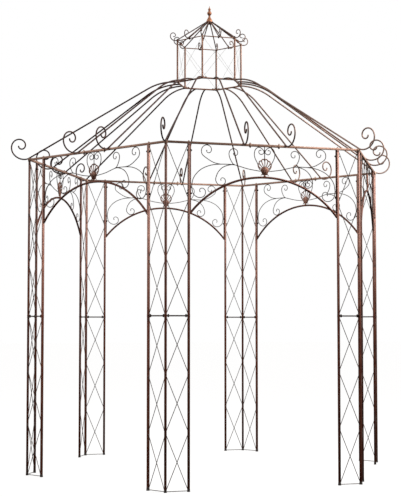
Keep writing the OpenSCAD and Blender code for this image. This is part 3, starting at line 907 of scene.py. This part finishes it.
t = Build()
for k in range(6):
    a0, a1 = math.radians(60 * k), math.radians(60 * k + 60)
    p0 = Vector((LR * math.cos(a0), LR * math.sin(a0), LT))
    p1 = Vector((LR * math.cos(a1), LR * math.sin(a1), LT))
    t.sweep([p0, p1], 4.0 * MM, 12, ends="flat")
    t.ball(p0, 6.8 * MM, None, 0.75)
    mid = (p0 + p1) / 2
    for p in (p0, mid):
        out = Vector((p.x, p.y, 0)).normalized()
        hw.hexbolt(p + Vector((0, 0, 10.0 * MM)), (0, 0, 1), 6.0 * MM, 5.5 * MM, None, stud=1.5 * MM)
        hw.hexbolt(p - Vector((0, 0, 2.6 * MM)), (0, 0, -1), 6.0 * MM, 6.5 * MM, None, stud=1.5 * MM)
        t.ball(p, 8.0 * MM, None, 0.9)
t.object("lantern_top_wire", M_LANT, "lantern_paint", ("lantern_top_ring",))
hw.object("lantern_bolts", M_BOLT, "lantern_paint")

# thin cross wires in the lantern's six sides
x = Build()
for k in range(6):
    a0, a1 = math.radians(60 * k), math.radians(60 * k + 60)
    c0 = Vector((math.cos(a0), math.sin(a0), 0)) * LR
    c1 = Vector((math.cos(a1), math.sin(a1), 0)) * LR
    out = ((c0 + c1) / 2).normalized() * 1.0 * MM
    z0, z1 = LB + 10 * MM, LT - 6 * MM
    d = (c1 - c0).normalized() * 5 * MM
    x.sweep([c0 + d + out + Vector((0, 0, z0)), c1 - d + out + Vector((0, 0, z1))], 0.8 * MM, 6)
    x.sweep([c1 - d - out + Vector((0, 0, z0)), c0 + d - out + Vector((0, 0, z1))], 0.8 * MM, 6)
x.object("lantern_cross_wires", M_WIRE, "lantern_paint")

r = Build()
UPR = 28 * MM
TOPW = (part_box("lantern_top_ring")[1].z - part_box("lantern_top_ring")[0].z) / 2
for k in range(12):
    r1 = LR if k % 2 == 0 else LR * math.cos(math.radians(30))
    rr = 4.5 * MM
    z1 = LT + TOPW + rr
    z0 = FIN + 18 * MM
    q0 = 23 * MM
    f = math.atan2(z0 - z1, r1 - q0)
    over = 4 * MM
    e = (r1 + over, z1 - over * math.tan(f))
    c = (e[0] + UPR * math.sin(f), e[1] + UPR * math.cos(f))
    q = (c[0] + UPR * math.cos(math.radians(264)), c[1] + UPR * math.sin(math.radians(264)))
    v0 = 45 * MM
    vc = (q[0] - v0 * math.cos(math.radians(-109)), q[1] - v0 * math.sin(math.radians(-109)))
    line = [(q0, z0)] + arc(c, UPR, 270 - math.degrees(f), 264, 6) + volute(vc, v0, -109, 400, 70)[1:]
    first, rest = Vector(line[0]), line[1:]
    line = [tuple(first.lerp(Vector(rest[0]), i / 8)) for i in range(8)] + relax(rest, 1)
    r.sweep(plane(line), 4.5 * MM, 12, radial_m(30 * k), normal=(0, 1, 0),
            radius=lambda t: 1.0 if t < 0.55 else 1.0 - 0.3 * (t - 0.55) / 0.45)
    r.ball((line[-1][0], 0, line[-1][1]), 3.6 * MM, radial_m(30 * k), 1.0, (0, 1, 0))
r.object("lantern_roof_rods", M_RAFTER, "rafter_paint", ("lantern_rafters",))

# ------------------------------------------------------------------ finial
fb = Build()
prof = [(0, 0)] + smooth([(20, 0), (26, 14), (24, 30), (12, 54), (7, 68), (11, 75), (19, 88), (15, 103), (6.5, 112),
                          (10, 118), (12, 124), (7, 133), (3.5, 138), (2, 148), (0.6, 153)], 5) + [(0, 153)]
fb.lathe_axis((0, 0, FIN), (0, 0, 9), [(max(a, 0) * MM, c * MM) for a, c in prof], 40)
for rad, z, w in ((8.4, 67, 2.2), (7.6, 112, 1.8), (5.2, 136, 1.4)):
    fb.lathe_axis((0, 0, FIN + (z - w) * MM), (0, 0, 9), [
        ((rad - 1.4) * MM, 0), (rad * MM, w * 0.5 * MM), (rad * MM, w * 1.5 * MM), ((rad - 1.4) * MM, 2 * w * MM)], 28)
# the rods' welded ends round the gathering cone
for k in range(12):
    a = math.radians(30 * k)
    fb.bead((24 * MM * math.cos(a), 24 * MM * math.sin(a), FIN + 18 * MM), 5.0 * MM, None, 0.9)
fb.object("finial_turned", M_FINIAL, "finial_paint", ("finial",), angle=55)

# ------------------------------------------------------------------ stage and light
fm = bpy.data.materials.new("floor")
fm.use_nodes = True
nt = fm.node_tree
nt.nodes.clear()
fo = nt.nodes.new("ShaderNodeOutputMaterial")
fd = nt.nodes.new("ShaderNodeBsdfDiffuse")
fd.inputs["Color"].default_value = (0.16, 0.16, 0.16, 1)
fe = nt.nodes.new("ShaderNodeEmission")
fe.inputs["Color"].default_value = (1, 1, 1, 1)
fe.inputs["Strength"].default_value = FLOOR_GLOW
fa = nt.nodes.new("ShaderNodeAddShader")
nt.links.new(fd.outputs[0], fa.inputs[0])
nt.links.new(fe.outputs[0], fa.inputs[1])
nt.links.new(fa.outputs[0], fo.inputs[0])
me = bpy.data.meshes.new("floor")
S = 60.0
me.from_pydata([(-S, -S, 0), (S, -S, 0), (S, S, 0), (-S, S, 0)], [], [(0, 1, 2, 3)])
floor = bpy.data.objects.new("floor", me)
me.materials.append(fm)
scene.collection.objects.link(floor)
floor.visible_diffuse = False
floor.visible_glossy = False

# the sky is plain white behind the gazebo, and a soft dome of light, brighter overhead, on it
world = bpy.data.worlds.new("world")
scene.world = world
world.use_nodes = True
wt = world.node_tree
wt.nodes.clear()
wo = wt.nodes.new("ShaderNodeOutputWorld")
seen = wt.nodes.new("ShaderNodeBackground")
seen.inputs[0].default_value = (1, 1, 1, 1)
seen.inputs[1].default_value = 1.0
dome = wt.nodes.new("ShaderNodeBackground")
tc = wt.nodes.new("ShaderNodeTexCoord")
xyz = wt.nodes.new("ShaderNodeSeparateXYZ")
wt.links.new(tc.outputs["Generated"], xyz.inputs[0])
up = wt.nodes.new("ShaderNodeMapRange")
up.inputs["From Min"].default_value = -1.0
up.inputs["From Max"].default_value = 1.0
wt.links.new(xyz.outputs[2], up.inputs["Value"])
ramp = wt.nodes.new("ShaderNodeValToRGB")
while len(ramp.color_ramp.elements) < len(DOME):
    ramp.color_ramp.elements.new(0.5)
for e, (h, v) in zip(ramp.color_ramp.elements, DOME):
    e.position = h
    e.color = (v, v, v, 1)
wt.links.new(up.outputs[0], ramp.inputs[0])
wt.links.new(ramp.outputs[0], dome.inputs[0])
dome.inputs[1].default_value = 1.0
ray = wt.nodes.new("ShaderNodeLightPath")
pick = wt.nodes.new("ShaderNodeMixShader")
wt.links.new(ray.outputs["Is Camera Ray"], pick.inputs[0])
wt.links.new(dome.outputs[0], pick.inputs[1])
wt.links.new(seen.outputs[0], pick.inputs[2])
wt.links.new(pick.outputs[0], wo.inputs[0])
scene.view_settings.view_transform = "Standard"


def sun(name, frm, angle, power, color=(1, 1, 1)):
    d = bpy.data.lights.new(name, "SUN")
    d.angle = math.radians(angle)
    d.energy = power
    d.color = color
    o = bpy.data.objects.new(name, d)
    o.location = frm
    o.rotation_euler = (-Vector(frm)).to_track_quat("-Z", "Y").to_euler()
    scene.collection.objects.link(o)
    return o


def area(name, loc, target, size, power, color=(1, 1, 1)):
    d = bpy.data.lights.new(name, "AREA")
    d.shape = "RECTANGLE"
    d.size, d.size_y = size
    d.energy = power
    d.color = color
    o = bpy.data.objects.new(name, d)
    o.location = loc
    o.rotation_euler = (Vector(target) - Vector(loc)).to_track_quat("-Z", "Y").to_euler()
    scene.collection.objects.link(o)
    return o


# a studio with a tall soft light on each side, and one over the right of the roof
sun("left_light", (-9.85, 1.7, 4.2), 34, 2.3, (1.0, 0.95, 0.90))
sun("right_light", (9.8, -2.1, 5.0), 34, 2.1, (1.0, 0.96, 0.93))
area("roof_light", (2.8, -2.6, 4.7), (0.6, -0.3, 2.8), (2.0, 2.0), 330, (1.0, 0.95, 0.91))
